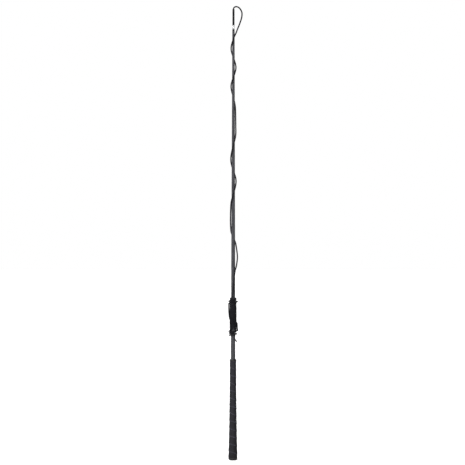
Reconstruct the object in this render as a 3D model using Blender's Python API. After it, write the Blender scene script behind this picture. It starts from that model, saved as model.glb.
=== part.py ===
"""A lunge whip: a braided shaft, a taped handle, a swivel at the tip, and the lash wound down and tied up.

Metres, +Z from the butt to the tip, the front towards -Y. Every height below is measured up from the butt
end. The origin is on the axis, HOLD_HEIGHT above the butt end, where the hand holds the grip.
"""

import math

import bmesh
import bpy
import numpy as np

# Overall sizes
STICK_LENGTH = 1.518  # butt end to the top of the shaft's collar
HANDLE_LENGTH = 0.356
HOLD_HEIGHT = 0.180
GAP = 0.0003  # between two pieces that touch

# Shaft: a tapered core, a filler sleeve round it and a braided cover outside
SHAFT_FOOT = 0.030
CORE_DIAMETER_AT_FOOT = 0.0090
CORE_DIAMETER_AT_TIP = 0.0042
FILLER_WALL_AT_FOOT = 0.0032
FILLER_WALL_AT_TIP = 0.0006
COVER_WALL = 0.00075
COLLAR_HEIGHT = 0.006

# Handle
CAP_HEIGHT = 0.0092
CAP_DOME = 0.004
CAP_FLAT_DIAMETER = 0.014
DOME_STEPS = 5
SPIGOT_LENGTH = 0.018
FORMER_TOP = 0.260
FORMER_WALLS = ((0.012, 0.0044), (0.070, 0.0028), (0.150, 0.0017), (FORMER_TOP, 0.0006))
TAPE_BUILD = 0.0015
TAPE_PITCH = 0.0268
TAPE_LAP = 0.0005
LIP_HEIGHT = 0.0065
LIP_BUILD = 0.0024

# Swivel between the shaft and the lash
SKIRT_LENGTH = 0.012
BARREL_HEIGHT = 0.0064
BARREL_WALL = 0.0008
LIP_THICKNESS = 0.0020
PIN_DIAMETER = 0.0020
PIN_PLAY = 0.00035
PIN_HEAD_HEIGHT = 0.0013
RIVET_TAPER = 0.85  # the riveted head's top, as a share of its foot
WASHER_THICKNESS = 0.0006
SWIVEL_GROOVE = 0.0010
CUP_HEIGHT = 0.0070
CUP_FLOOR = 0.0016

# Keeper, the sleeve that binds the lash's doubled end to the swivel
KEEPER_LENGTH = 0.0562
KEEPER_WALL = 0.00075
KEEPER_PLAY = 0.0004
LASH_TUCK = 0.003  # how far the lash starts inside the keeper's mouth

# Lash
LASH_DIAMETER = 0.0046
POPPER_DIAMETER = 0.0032
KNOT_DIAMETER = 0.0070
LOOP_POINTS = 15
WINDING_POINTS = 67
POPPER_POINTS = 7

# Hank of surplus lash, held to the shaft just above the handle
HANK_RISE = 0.097  # from the handle's top to the hank's foot
HANK_LENGTH = 0.121
HANK_HALF_ANGLE = math.radians(98)
FOLD_HALF_ANGLE = math.radians(168)  # the folds at its two ends pass behind the shaft
FOLD_HEIGHT = 0.016
HANK_BOW = 0.0042  # how far the run on the left stands out
HANK_ROWS = 45
HANK_COLUMNS = 21
TOP_WRAP_FALL = 0.009  # from the hank's top to the wrap round it
TOP_WRAP_HEIGHT = 0.011
LOW_WRAPS_RISE = 0.021  # how far the wraps at the hank's foot reach above it
LOW_WRAPS_FALL = 0.009
HANK_FOOT = HANDLE_LENGTH + HANK_RISE
HANK_TOP = HANK_FOOT + HANK_LENGTH

# The loop over the tip, from the keeper's mouth: x, y and height above the mouth
LOOP = (
    (0.0000, 0.0000, 0.0015),
    (0.0024, 0.0000, 0.0060),
    (0.0097, 0.0000, 0.0089),
    (0.0180, 0.0000, 0.0062),
    (0.0250, -0.0001, -0.0015),
    (0.0294, -0.0002, -0.0110),
    (0.0300, -0.0003, -0.0200),
    (0.0280, -0.0005, -0.0330),
    (0.0240, -0.0008, -0.0450),
    (0.0200, -0.0014, -0.0565),
    (0.0143, -0.0026, -0.0705),
    (0.0088, -0.0048, -0.0850),
    (0.0042, -0.0066, -0.0950),
)

# The winding down the shaft: share of the way up from the hank to the tip, angle round the shaft in degrees
# from the front towards the right, and stand-off from the shaft in millimetres
WINDING = (
    (0.964, 0, 0.6),
    (0.929, -90, 1.6),
    (0.895, -180, 0.8),
    (0.858, -270, 2.0),
    (0.820, -360, 0.6),
    (0.787, -450, 1.2),
    (0.746, -540, 0.6),
    (0.698, -610, 0.7),
    (0.638, -632, 1.0),
    (0.612, -648, 1.6),
    (0.567, -720, 0.6),
    (0.515, -810, 0.8),
    (0.474, -900, 0.7),
    (0.433, -990, 1.6),
    (0.383, -1080, 0.6),
    (0.344, -1145, 0.7),
    (0.288, -1172, 1.1),
    (0.247, -1205, 0.8),
    (0.224, -1260, 0.9),
    (0.195, -1322, 2.2),
    (0.150, -1350, 5.8),
    (0.120, -1364, 3.2),
    (0.101, -1394, 0.9),
    (0.078, -1413, 0.6),
    (0.035, -1438, 0.6),
    (0.000, -1454, 0.6),
)

# The popper, from the knot under the low wraps: fall below the knot, angle and stand-off in millimetres
END_ANGLE = 26
POPPER = (
    (0.0000, 27, 0.6),
    (0.0045, 36, 0.6),
    (0.0085, 48, 0.7),
    (0.0120, 60, 1.6),
    (0.0155, 71, 3.6),
    (0.0190, 79, 6.4),
)

SIDES = 24


def material(name, colour, roughness, metallic=0.0):
    """A Principled material of one colour."""
    made = bpy.data.materials.new(name)
    made.use_nodes = True
    shader = made.node_tree.nodes["Principled BSDF"]
    shader.inputs["Base Color"].default_value = (*colour, 1.0)
    shader.inputs["Roughness"].default_value = roughness
    shader.inputs["Metallic"].default_value = metallic
    return made


def place(piece, finish, parent=None):
    """Gives the piece its finish and sets its heights, which start at the butt end, into the whip's frame."""
    piece.data.materials.append(finish)
    bpy.context.scene.collection.objects.link(piece)
    piece.location = (0, 0, -HOLD_HEIGHT)
    if parent:
        piece.parent = parent
        piece.location.z -= parent.location.z
    return piece


def rounded(mesh):
    """Shades a mesh smooth apart from its corners."""
    mesh.shade_smooth()
    mesh.set_sharp_from_angle(angle=math.radians(35))


def turned(name, profile, finish, parent=None, closed=True):
    """A turned piece: the profile of (radius, height) points spun about Z. A profile that isn't closed
    starts and ends on the axis."""
    bm = bmesh.new()
    points = [bm.verts.new((radius, 0, height)) for radius, height in profile]
    pairs = list(zip(points, points[1:] + points[:1]))
    edges = [bm.edges.new(pair) for pair in (pairs if closed else pairs[:-1])]
    bmesh.ops.spin(
        bm,
        geom=points + edges,
        cent=(0, 0, 0),
        axis=(0, 0, 1),
        angle=2 * math.pi,
        steps=SIDES,
        use_merge=True,
    )
    bmesh.ops.remove_doubles(bm, verts=bm.verts, dist=0.00002)
    bmesh.ops.recalc_face_normals(bm, faces=bm.faces)
    mesh = bpy.data.meshes.new(name)
    bm.to_mesh(mesh)
    bm.free()
    rounded(mesh)
    return place(bpy.data.objects.new(name, mesh), finish, parent)


def tube(name, bottom, top, finish, parent=None):
    """A tapered tube between two rings, each (height, inner radius, outer radius)."""
    (low, low_in, low_out), (high, high_in, high_out) = bottom, top
    profile = [(high_out, high), (low_out, low), (low_in, low), (high_in, high)]
    return turned(name, profile, finish, parent)


def wall_between(name, inner, outer, finish, closed):
    """A closed solid between two grids of points, both indexed by height and then by angle. A closed one
    goes all the way round; an open one is shut by two side walls."""
    rows, columns = inner.shape[:2]
    index = np.arange(2 * rows * columns).reshape(2, rows, columns)
    last = columns if closed else columns - 1
    faces = []
    for i in range(rows - 1):
        for j in range(last):
            k = (j + 1) % columns
            faces.append((index[1, i, j], index[1, i, k], index[1, i + 1, k], index[1, i + 1, j]))
            faces.append((index[0, i, j], index[0, i + 1, j], index[0, i + 1, k], index[0, i, k]))
    for j in range(last):
        k = (j + 1) % columns
        faces.append((index[0, 0, j], index[0, 0, k], index[1, 0, k], index[1, 0, j]))
        faces.append((index[0, -1, j], index[1, -1, j], index[1, -1, k], index[0, -1, k]))
    if not closed:
        for i in range(rows - 1):
            faces.append((index[0, i, 0], index[1, i, 0], index[1, i + 1, 0], index[0, i + 1, 0]))
            faces.append((index[0, i, -1], index[0, i + 1, -1], index[1, i + 1, -1], index[1, i, -1]))
    mesh = bpy.data.meshes.new(name)
    points = np.concatenate([inner.reshape(-1, 3), outer.reshape(-1, 3)])
    mesh.from_pydata(points.tolist(), [], [[int(corner) for corner in face] for face in faces])
    rounded(mesh)
    return place(bpy.data.objects.new(name, mesh), finish)


def cord(name, points, diameter, finish):
    """A round cord along a list of points."""
    line = bpy.data.curves.new(name, "CURVE")
    line.dimensions = "3D"
    line.bevel_depth = diameter / 2
    line.bevel_resolution = 2
    line.use_fill_caps = True
    line.resolution_u = 1
    line.render_resolution_u = 0
    spline = line.splines.new("POLY")
    spline.points.add(len(points) - 1)
    for slot, point in zip(spline.points, points):
        slot.co = (*point, 1.0)
    return place(bpy.data.objects.new(name, line), finish)


def ease(xs, ys, x):
    """A smooth curve through the points (xs, ys), with xs growing, that never passes a peak or a dip: cubic
    pieces whose slopes at the points are harmonic means of the slopes beside them."""
    xs, ys, x = np.array(xs, float), np.array(ys, float), np.asarray(x, float)
    step = np.diff(xs)
    slope = np.diff(ys) / step
    product = slope[:-1] * slope[1:]
    total = slope[:-1] + slope[1:]
    inner = np.where(product > 0, 2 * product / np.where(total == 0, 1, total), 0)
    at = np.concatenate([[slope[0]], inner, [slope[-1]]])
    i = np.clip(np.searchsorted(xs, x, side="right") - 1, 0, len(step) - 1)
    t = (x - xs[i]) / step[i]
    start = (1 + 2 * t) * (1 - t) ** 2 * ys[i] + t * (1 - t) ** 2 * step[i] * at[i]
    end = t * t * (3 - 2 * t) * ys[i + 1] - t * t * (1 - t) * step[i] * at[i + 1]
    return start + end


def smooth_line(points):
    """A dense, smooth line through the given points, and the length along it up to each of its own points."""
    points = np.array(points, float)
    along = np.concatenate([[0], np.cumsum(np.linalg.norm(np.diff(points, axis=0), axis=1))])
    fine = np.linspace(0, along[-1], 40 * len(points))
    slopes = np.gradient(points, along, axis=0)
    i = np.clip(np.searchsorted(along, fine, side="right") - 1, 0, len(points) - 2)
    step = (along[i + 1] - along[i])[:, None]
    t = (fine - along[i])[:, None] / step
    line = (1 + 2 * t) * (1 - t) ** 2 * points[i] + t * (1 - t) ** 2 * step * slopes[i]
    line += t * t * (3 - 2 * t) * points[i + 1] - t * t * (1 - t) * step * slopes[i + 1]
    length = np.concatenate([[0], np.cumsum(np.linalg.norm(np.diff(line, axis=0), axis=1))])
    return line, length


def points_at(line, length, at):
    """The points of a line at these lengths along it."""
    return np.stack([np.interp(at, length, line[:, k]) for k in range(3)], axis=1)


def core_radius(height):
    """The core's radius at a height."""
    share = (height - SHAFT_FOOT) / (STICK_LENGTH - SHAFT_FOOT)
    return (CORE_DIAMETER_AT_FOOT + (CORE_DIAMETER_AT_TIP - CORE_DIAMETER_AT_FOOT) * share) / 2


def filler_radius(height):
    """The filler sleeve's outer radius at a height."""
    share = (height - SHAFT_FOOT) / (STICK_LENGTH - SHAFT_FOOT)
    wall = FILLER_WALL_AT_FOOT + (FILLER_WALL_AT_TIP - FILLER_WALL_AT_FOOT) * share
    return core_radius(height) + GAP + wall


def shaft_radius(height):
    """The braided cover's outer radius at a height."""
    return filler_radius(height) + GAP + COVER_WALL


def former_radius(height):
    """The handle former's outer radius at a height."""
    wall = np.interp(height, *zip(*FORMER_WALLS))
    return shaft_radius(height) + GAP + wall


def grip_inside(height):
    """The tape's inner radius at a height: it lies on the former, and above that on the cover."""
    on_former = former_radius(height) + GAP
    on_cover = shaft_radius(height) + GAP
    return np.where(height < FORMER_TOP + 2 * GAP, on_former, on_cover)


def grip_radius(height):
    """The tape's outer radius at a height, without its laps."""
    return former_radius(height) + GAP + TAPE_BUILD


def around(angle, radius, height):
    """A point at an angle in radians from the front towards the right."""
    return np.stack([radius * np.sin(angle), -radius * np.cos(angle), height + 0 * radius], axis=-1)


def swivel_heights():
    """The heights of the swivel's pieces, from the shaft's collar to the keeper's mouth."""
    barrel_top = STICK_LENGTH + GAP + BARREL_HEIGHT
    cup_foot = barrel_top + SWIVEL_GROOVE
    cup_top = cup_foot + CUP_HEIGHT
    mouth = cup_top + GAP + KEEPER_LENGTH
    return {"barrel_top": barrel_top, "cup_foot": cup_foot, "cup_top": cup_top, "mouth": mouth}


def make_shaft():
    """The core rod, its filler sleeve, the braided cover and the collar that ends the cover."""
    top = STICK_LENGTH - COLLAR_HEIGHT
    skirt_foot = STICK_LENGTH - SKIRT_LENGTH
    core = [
        (0, STICK_LENGTH),
        (core_radius(STICK_LENGTH), STICK_LENGTH),
        (core_radius(SHAFT_FOOT), SHAFT_FOOT),
        (0, SHAFT_FOOT),
    ]
    turned("core_rod", core, material("fibreglass", (0.62, 0.58, 0.42), 0.45), closed=False)
    filler_top = skirt_foot - GAP
    tube(
        "core_filler",
        (SHAFT_FOOT, core_radius(SHAFT_FOOT) + GAP, filler_radius(SHAFT_FOOT)),
        (filler_top, core_radius(filler_top) + GAP, filler_radius(filler_top)),
        material("filler_yarn", (0.40, 0.39, 0.36), 0.9),
    )
    tube(
        "shaft_cover",
        (SHAFT_FOOT, filler_radius(SHAFT_FOOT) + GAP, shaft_radius(SHAFT_FOOT)),
        (top, filler_radius(top) + GAP, shaft_radius(top)),
        material("shaft_braid", (0.045, 0.045, 0.055), 0.45),
    )
    tube(
        "tip_collar",
        (top + GAP, filler_radius(top) + GAP, shaft_radius(top)),
        (STICK_LENGTH, filler_radius(top) + GAP, shaft_radius(top)),
        material("tip_whipping", (0.010, 0.010, 0.011), 0.5),
    )


def make_handle():
    """The cap with its spigot, the tapered former, the tape wound over it and the ring at the tape's top."""
    edge = grip_radius(CAP_HEIGHT)
    spigot = shaft_radius(SHAFT_FOOT)
    flat = CAP_FLAT_DIAMETER / 2
    dome = [(edge - (edge - flat) * (1 - math.cos(turn)) / 2, CAP_DOME * (1 - turn / math.pi))
            for turn in np.linspace(0, math.pi, DOME_STEPS)]
    cap = [
        (0, CAP_HEIGHT + SPIGOT_LENGTH),
        (spigot, CAP_HEIGHT + SPIGOT_LENGTH),
        (spigot, CAP_HEIGHT),
        (edge, CAP_HEIGHT),
        *dome,
        (0, 0),
    ]
    turned("butt_cap", cap, material("cap_rubber", (0.014, 0.014, 0.016), 0.6), closed=False)
    foot = CAP_HEIGHT + GAP
    bore_foot = spigot + GAP
    heights = [height for height, _ in FORMER_WALLS[::-1]]
    former = [(former_radius(height), height) for height in heights]
    former += [(former_radius(foot), foot), (bore_foot, foot), (bore_foot, SHAFT_FOOT)]
    former += [(shaft_radius(FORMER_TOP) + GAP, FORMER_TOP)]
    turned("handle_former", former, material("former_foam", (0.20, 0.20, 0.20), 0.8))
    make_tape()
    lip_foot = HANDLE_LENGTH - LIP_HEIGHT
    outside = shaft_radius(HANDLE_LENGTH) + LIP_BUILD
    profile = [
        (outside - LIP_BUILD / 4, HANDLE_LENGTH),
        (outside, HANDLE_LENGTH - LIP_HEIGHT / 3),
        (outside - LIP_BUILD / 8, lip_foot),
        (shaft_radius(lip_foot) + GAP, lip_foot),
        (shaft_radius(HANDLE_LENGTH) + GAP, HANDLE_LENGTH),
    ]
    turned("grip_collar", profile, material("collar_rubber", (0.016, 0.016, 0.018), 0.55))


def make_tape():
    """The grip tape, wound up the handle in a spiral: each turn rises to an edge that laps over the turn
    below."""
    foot = CAP_HEIGHT + GAP
    top = HANDLE_LENGTH - LIP_HEIGHT - GAP
    turns = round((top - foot) / TAPE_PITCH)
    heights = np.linspace(foot, top, 4 * turns + 1)
    heights = np.sort(np.append(heights, [FORMER_TOP + GAP, FORMER_TOP + 3 * GAP]))[:, None]
    angles = np.linspace(0, 2 * math.pi, SIDES, endpoint=False)[None, :]
    place_in_turn = (heights / TAPE_PITCH + angles / (2 * math.pi)) % 1
    outside = grip_radius(heights) + TAPE_LAP * np.sin(math.pi * place_in_turn)
    inside = grip_inside(heights) + 0 * angles
    wall_between(
        "grip_tape",
        around(angles, inside, heights + 0 * angles),
        around(angles, outside, heights + 0 * angles),
        material("grip_wrap", (0.030, 0.030, 0.034), 0.6),
        closed=True,
    )


def make_swivel():
    """The barrel on the shaft's tip, and the washer, pin, cup, bound lash end and keeper that turn in it."""
    at = swivel_heights()
    bright = material("swivel_nickel", (0.82, 0.82, 0.83), 0.18, 1.0)
    bore = core_radius(STICK_LENGTH) + GAP
    skirt = filler_radius(STICK_LENGTH)
    hole = PIN_DIAMETER / 2 + PIN_PLAY
    head = bore - PIN_PLAY
    bound = LASH_DIAMETER / 2 + KEEPER_PLAY - GAP
    outside = bound + GAP + BARREL_WALL
    lip_foot = at["barrel_top"] - LIP_THICKNESS
    skirt_foot = STICK_LENGTH - SKIRT_LENGTH
    seat = STICK_LENGTH + GAP
    barrel = [
        (outside, at["barrel_top"]),
        (outside, seat),
        (skirt, seat),
        (skirt, skirt_foot),
        (bore, skirt_foot),
        (bore, lip_foot),
        (hole, lip_foot),
        (hole, at["barrel_top"]),
    ]
    turned("swivel_barrel", barrel, bright)
    washer_top = lip_foot - GAP
    washer_foot = washer_top - WASHER_THICKNESS
    tube(
        "swivel_washer",
        (washer_foot, hole, head),
        (washer_top, hole, head),
        material("washer_nylon", (0.75, 0.74, 0.70), 0.4),
    )

    axis = bpy.data.objects.new("lash_swivel_axis", None)
    bpy.context.scene.collection.objects.link(axis)
    axis.location = (0, 0, at["barrel_top"] - HOLD_HEIGHT)
    make_pin(at, washer_foot - GAP, head, axis)
    cup_floor = at["cup_foot"] + CUP_FLOOR
    cup = [
        (outside, at["cup_top"]),
        (outside, at["cup_foot"]),
        (hole, at["cup_foot"]),
        (hole, cup_floor),
        (bound + GAP, cup_floor),
        (bound + GAP, at["cup_top"]),
    ]
    turned("swivel_cup", cup, material("cup_nickel", (0.82, 0.82, 0.83), 0.18, 1.0), axis)
    bound_foot = cup_floor + PIN_HEAD_HEIGHT + 2 * GAP
    bound_top = at["mouth"] - LASH_TUCK - GAP
    bound_end = [(0, bound_top), (bound, bound_top), (bound, bound_foot), (0, bound_foot)]
    turned("lash_bound_end", bound_end, material("bound_cord", (0.02, 0.02, 0.02), 0.7), axis, closed=False)
    keeper_in = bound + GAP
    keeper_out = keeper_in + KEEPER_WALL
    keeper_foot = at["cup_top"] + GAP
    keeper = [
        (keeper_out - KEEPER_WALL / 2, at["mouth"]),
        (keeper_out, at["mouth"] - 2 * KEEPER_WALL),
        (keeper_out, keeper_foot),
        (keeper_in, keeper_foot),
        (keeper_in, at["mouth"]),
    ]
    turned("lash_keeper", keeper, material("keeper_sleeve", (0.012, 0.012, 0.013), 0.5), axis)


def make_pin(at, lower_top, head, axis):
    """The swivel's pin: a head under the washer, a neck through both halves, and a head riveted over in the
    cup."""
    upper_foot = at["cup_foot"] + CUP_FLOOR + GAP
    upper_top = upper_foot + PIN_HEAD_HEIGHT
    neck = PIN_DIAMETER / 2
    pin = [
        (0, upper_top),
        (head * RIVET_TAPER, upper_top),
        (head, upper_top - PIN_HEAD_HEIGHT / 3),
        (head, upper_foot),
        (neck, upper_foot),
        (neck, lower_top),
        (head, lower_top),
        (head, lower_top - PIN_HEAD_HEIGHT),
        (0, lower_top - PIN_HEAD_HEIGHT),
    ]
    turned("swivel_pin", pin, material("pin_steel", (0.55, 0.55, 0.57), 0.25, 1.0), axis, closed=False)


def winding():
    """Points down the shaft, a few degrees apart, from the front crossing under the tip to the hank."""
    share, angle, stand_off = zip(*WINDING[::-1])
    at = np.linspace(share[-1], share[0], 160)
    height = HANK_TOP + GAP + at * (STICK_LENGTH - HANK_TOP - GAP)
    radius = shaft_radius(height) + ease(share, stand_off, at) / 1000 + LASH_DIAMETER / 2
    return around(np.radians(ease(share, angle, at)), radius, height)


def lash_route():
    """The lash from inside the keeper's mouth, over the loop and down the winding to the hank."""
    mouth = np.array([0, 0, swivel_heights()["mouth"]])
    start = mouth - (0, 0, LASH_TUCK)
    line, length = smooth_line(np.concatenate([mouth + np.array(LOOP), winding()]))
    loop_end = length[np.argmin(np.abs(line[:, 2] - STICK_LENGTH))]
    at = np.append(
        np.linspace(0, loop_end, LOOP_POINTS, endpoint=False),
        np.linspace(loop_end, length[-1], WINDING_POINTS),
    )
    return np.concatenate([[start], points_at(line, length, at)])


def make_hank():
    """The surplus lash, folded to and fro beside the shaft: a wall round its front and sides, which reaches
    round the back at both ends, where the folds are, and bows out on the left."""
    shares = (1 - np.cos(np.linspace(0, math.pi, HANK_ROWS)))[:, None] / 2
    fold = FOLD_HEIGHT / HANK_LENGTH
    reach = ease((0, fold, 2.5 * fold, 1 - 2.5 * fold, 1 - fold, 1), (1, 1, 0, 0, 1, 1), shares)
    half_angle = HANK_HALF_ANGLE + (FOLD_HALF_ANGLE - HANK_HALF_ANGLE) * reach
    angles = half_angle * np.linspace(-1, 1, HANK_COLUMNS)[None, :]
    heights = HANK_FOOT + HANK_LENGTH * shares + 0 * angles
    inside = shaft_radius(HANK_FOOT) + GAP + 0 * heights
    thickness = LASH_DIAMETER * np.clip(np.sin(math.pi * shares) * 8, 0.55, 1)
    left = np.clip(-np.sin(angles), 0, 1) ** 2
    below_wrap = ease((0, 0.3, 0.5, 0.62, 0.72, 0.81, 1), (0, 0, 0.5, 1, 1, 0, 0), shares)
    outside = inside + thickness + HANK_BOW * left * below_wrap
    wall_between(
        "lash_hank",
        around(angles, inside, heights),
        around(angles, outside, heights),
        material("hank_cord", (0.014, 0.014, 0.016), 0.7),
        closed=False,
    )


def make_wraps():
    """The turns of lash that bind the hank: one round its top, and three round its foot and the shaft
    below."""
    over_hank = shaft_radius(HANK_FOOT) + 2 * GAP + LASH_DIAMETER
    outside = over_hank + LASH_DIAMETER
    shoulder = outside - LASH_DIAMETER / 4
    high = HANK_TOP - TOP_WRAP_FALL
    low = high - TOP_WRAP_HEIGHT
    top_wrap = [
        (shoulder, high),
        (outside, (low + high) / 2),
        (shoulder, low),
        (over_hank, low),
        (over_hank, high),
    ]
    turned("lash_top_wrap", top_wrap, material("top_wrap_cord", (0.014, 0.014, 0.016), 0.7))
    foot = HANK_FOOT - LOW_WRAPS_FALL
    head = HANK_FOOT + LOW_WRAPS_RISE
    on_shaft = shaft_radius(foot) + GAP
    under_hank = HANK_FOOT - GAP
    low_wraps = [
        (shoulder, head),
        (outside, (head + under_hank) / 2),
        (outside, under_hank),
        (on_shaft + LASH_DIAMETER, foot + LASH_DIAMETER / 2),
        (on_shaft + LASH_DIAMETER / 2, foot),
        (on_shaft, foot),
        (on_shaft, under_hank),
        (over_hank, under_hank),
        (over_hank, head),
    ]
    turned("lash_low_wraps", low_wraps, material("low_wraps_cord", (0.014, 0.014, 0.016), 0.7))


def make_end():
    """The knot at the lash's end, under the low wraps, and the thin popper that sticks out from it."""
    knot_top = HANK_FOOT - LOW_WRAPS_FALL - GAP
    knot_foot = knot_top - KNOT_DIAMETER
    centre = around(
        np.radians(END_ANGLE),
        np.array(shaft_radius(knot_foot) + GAP + KNOT_DIAMETER / 2),
        (knot_top + knot_foot) / 2,
    )
    bm = bmesh.new()
    bmesh.ops.create_uvsphere(bm, u_segments=14, v_segments=10, radius=KNOT_DIAMETER / 2)
    bmesh.ops.translate(bm, verts=bm.verts, vec=centre.tolist())
    mesh = bpy.data.meshes.new("lash_knot")
    bm.to_mesh(mesh)
    bm.free()
    rounded(mesh)
    place(bpy.data.objects.new("lash_knot", mesh), material("knot_cord", (0.014, 0.014, 0.016), 0.7))

    fall, angle, stand_off = (np.array(column, float) for column in zip(*POPPER))
    height = knot_foot - GAP - fall
    radius = shaft_radius(height) + stand_off / 1000 + POPPER_DIAMETER / 2
    line, length = smooth_line(around(np.radians(angle), radius, height))
    points = points_at(line, length, np.linspace(0, length[-1], POPPER_POINTS))
    cord("lash_popper", points, POPPER_DIAMETER, material("popper_cord", (0.05, 0.05, 0.055), 0.7))


def make_whip():
    """Every piece of the whip."""
    make_shaft()
    make_handle()
    make_swivel()
    cord("lash_run", lash_route(), LASH_DIAMETER, material("lash_cord", (0.014, 0.014, 0.016), 0.7))
    make_hank()
    make_wraps()
    make_end()


for old in list(bpy.data.objects):
    bpy.data.objects.remove(old, do_unlink=True)
make_whip()
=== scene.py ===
"""The visible surfaces of a lunge whip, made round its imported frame.

Laid out as an add-on with one operator for each group of like pieces, and run as a script. Metres, +Z from the
butt to the tip, the front towards -Y. Angles round the shaft start at the front and grow towards the right.
"""

import math

import bpy
import numpy as np
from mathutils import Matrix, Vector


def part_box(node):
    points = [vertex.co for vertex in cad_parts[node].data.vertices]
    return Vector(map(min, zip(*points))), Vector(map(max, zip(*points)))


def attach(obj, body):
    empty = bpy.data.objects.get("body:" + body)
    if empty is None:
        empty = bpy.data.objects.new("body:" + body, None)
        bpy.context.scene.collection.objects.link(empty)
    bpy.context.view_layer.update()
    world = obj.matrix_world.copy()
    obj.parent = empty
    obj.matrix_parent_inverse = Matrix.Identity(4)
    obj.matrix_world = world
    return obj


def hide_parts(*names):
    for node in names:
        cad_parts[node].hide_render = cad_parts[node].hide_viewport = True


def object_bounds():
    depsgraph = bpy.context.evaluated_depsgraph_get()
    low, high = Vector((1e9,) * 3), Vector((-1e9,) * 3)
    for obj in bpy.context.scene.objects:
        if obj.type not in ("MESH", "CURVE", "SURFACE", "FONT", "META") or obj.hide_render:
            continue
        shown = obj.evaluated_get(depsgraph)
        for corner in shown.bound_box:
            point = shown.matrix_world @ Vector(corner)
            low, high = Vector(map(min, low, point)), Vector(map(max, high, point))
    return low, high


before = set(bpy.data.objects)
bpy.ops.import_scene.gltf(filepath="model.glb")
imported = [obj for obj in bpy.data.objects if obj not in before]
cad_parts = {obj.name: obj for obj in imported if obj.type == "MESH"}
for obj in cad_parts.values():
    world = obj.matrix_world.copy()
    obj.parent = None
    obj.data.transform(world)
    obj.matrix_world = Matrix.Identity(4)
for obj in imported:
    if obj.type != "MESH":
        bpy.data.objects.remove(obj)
CAD_BOX = [list(corner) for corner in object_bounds()]

bl_info = {
    "name": "Lunge Whip Finish",
    "version": (1, 0, 0),
    "blender": (4, 5, 0),
    "location": "3D View > Sidebar > Whip",
    "description": "Makes the braid, grip, swivel and lash of a lunge whip round its frame",
    "category": "Add Mesh",
}

MM = 0.001
TURN = 2 * math.pi
WHITE = (1, 1, 1, 1)
LINT = (0.10, 0.10, 0.11, 1)
GOLDEN_ANGLE = math.pi * (3 - math.sqrt(5))
SAME_RING = 0.00002  # rings of CAD points this close are one
ROUNDNESS, DIP = 0.7, 0.35  # powers of the sines across a strand and along the stretch of it that shows

# Numbers of rows, columns and points
PLAIN_ROWS = 8
ROWS_IN_THREAD = 8
WHIPPING_COLUMNS = 48
DOME_ROWS = 16
CORNER_POINTS = 10
WINDING_POINTS = 160

# How the lash's route is settled
ROUTE_STEP = 0.0015
BESIDE = 2.4  # stretches fewer diameters than this from each other along the cord may touch
PRESSED = 0.985  # share of its thickness that the cord keeps where it presses on itself
SETTLED_ABOVE = 0.05  # how far above the hank the settled stretch starts

# Heights that the frame gives
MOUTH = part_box("lash_keeper")[1].z
SHAFT_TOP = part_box("tip_collar")[1].z
HANK_FOOT, HANK_TOP = (corner.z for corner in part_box("lash_hank"))
KNOT_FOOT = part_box("lash_knot")[0].z
MIDDLE = (CAD_BOX[0][2] + CAD_BOX[1][2]) / 2
GAP = 0.0003  # between two pieces that touch
PINHOLE = 0.0004  # radius at which the cap's surface ends in a fan
FOOT_FOLD, TOP_FOLD = 0.0031, 0.0034  # from the hank's ends to its outermost folds

# The grip's tape, in turns of it: where a turn starts, the widths of its edge, of the near side of its paler band,
# which is wear and a painted highlight, of the far side and of its furrow's painted shadow, the reach of the window
# that smooths its laps out, and the waves that its edge wanders in, each with its size, waves round, drift with
# each turn and start
TAPE_START, TAPE_EDGE, WEAR_AND_HIGHLIGHT_START, WEAR_AND_HIGHLIGHT_WIDTH, FURROW_SHADOW_WIDTH, LEVEL_WINDOW = 0.35, 0.035, 0.03, 0.10, 0.055, 0.52
WANDER = ((0.030, 1, 2.1, 0), (0.018, 2, -3.3, 1), (0.008, 5, 7.7, 0), (0.006, 9, -5.1, 0))
LAP_FALL = 1.4  # power of the fall from one turn's edge to the next
TAPE_SLACK = 0.00016

# The keeper's sleeve
SLEEVE = {"roll": 0.0005, "mouth": 0.0016, "gather": 0.0002, "oval": 0.00012, "furrow": 0.00016}

# The lash's route, as in the part's own source: from the keeper's mouth over the loop
LASH_TUCK = 0.003
LOOP = (
    (0.0000, 0.0000, 0.0015),
    (0.0024, 0.0000, 0.0060),
    (0.0097, 0.0000, 0.0089),
    (0.0180, 0.0000, 0.0062),
    (0.0250, -0.0001, -0.0015),
    (0.0294, -0.0002, -0.0110),
    (0.0300, -0.0003, -0.0200),
    (0.0280, -0.0005, -0.0330),
    (0.0240, -0.0008, -0.0450),
    (0.0200, -0.0014, -0.0565),
    (0.0143, -0.0026, -0.0705),
    (0.0088, -0.0048, -0.0850),
    (0.0042, -0.0066, -0.0950),
)

# Down the shaft: share of the way up from the hank to the tip, angle in degrees, stand-off in millimetres
WINDING = (
    (0.964, 0, 0.6),
    (0.929, -90, 1.6),
    (0.895, -180, 0.8),
    (0.858, -270, 2.0),
    (0.820, -360, 0.6),
    (0.787, -450, 1.2),
    (0.746, -540, 0.6),
    (0.698, -610, 0.7),
    (0.638, -632, 1.0),
    (0.612, -648, 1.6),
    (0.567, -720, 0.6),
    (0.515, -810, 0.8),
    (0.474, -900, 0.7),
    (0.433, -990, 1.6),
    (0.383, -1080, 0.6),
    (0.344, -1145, 0.7),
    (0.288, -1172, 1.1),
    (0.247, -1205, 0.8),
    (0.224, -1260, 0.9),
    (0.195, -1322, 2.2),
    (0.150, -1350, 5.8),
    (0.120, -1364, 3.2),
    (0.101, -1394, 0.9),
    (0.078, -1413, 0.6),
    (0.035, -1438, 0.6),
    (0.000, -1454, 0.6),
)

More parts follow.
